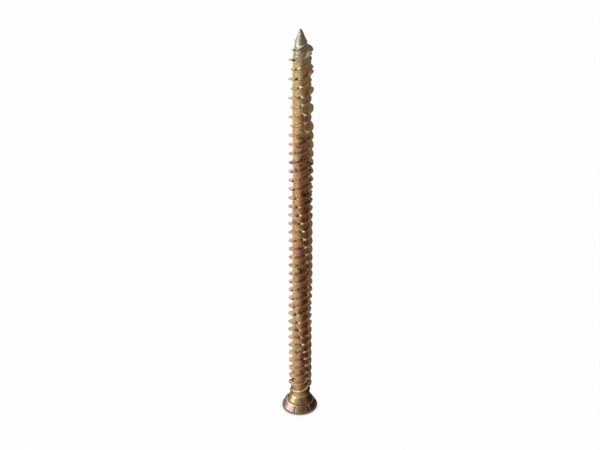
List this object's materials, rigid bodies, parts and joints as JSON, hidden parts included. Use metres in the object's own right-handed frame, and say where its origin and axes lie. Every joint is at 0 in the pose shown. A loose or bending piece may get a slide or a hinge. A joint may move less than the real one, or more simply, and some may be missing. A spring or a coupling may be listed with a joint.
{
  "type": "concrete screw",
  "caption": "Long countersunk screw with a notched two-start thread along its whole shank and a sharp point, driven into drilled concrete or masonry to fix frames.",
  "frame": {"origin": "centre of the flat head face", "axes": "+Z along the screw's axis from the head face to the point, +X to the right and -Y towards the viewer of the picture"},
  "size_m": [0.0114, 0.0114, 0.132],
  "materials": {
    "yellow_zinc": "yellow passivated zinc plate over hardened steel, iridescent"
  },
  "bodies": {
    "root": {"concrete_screw": "yellow_zinc"}
  },
  "joints": []
}
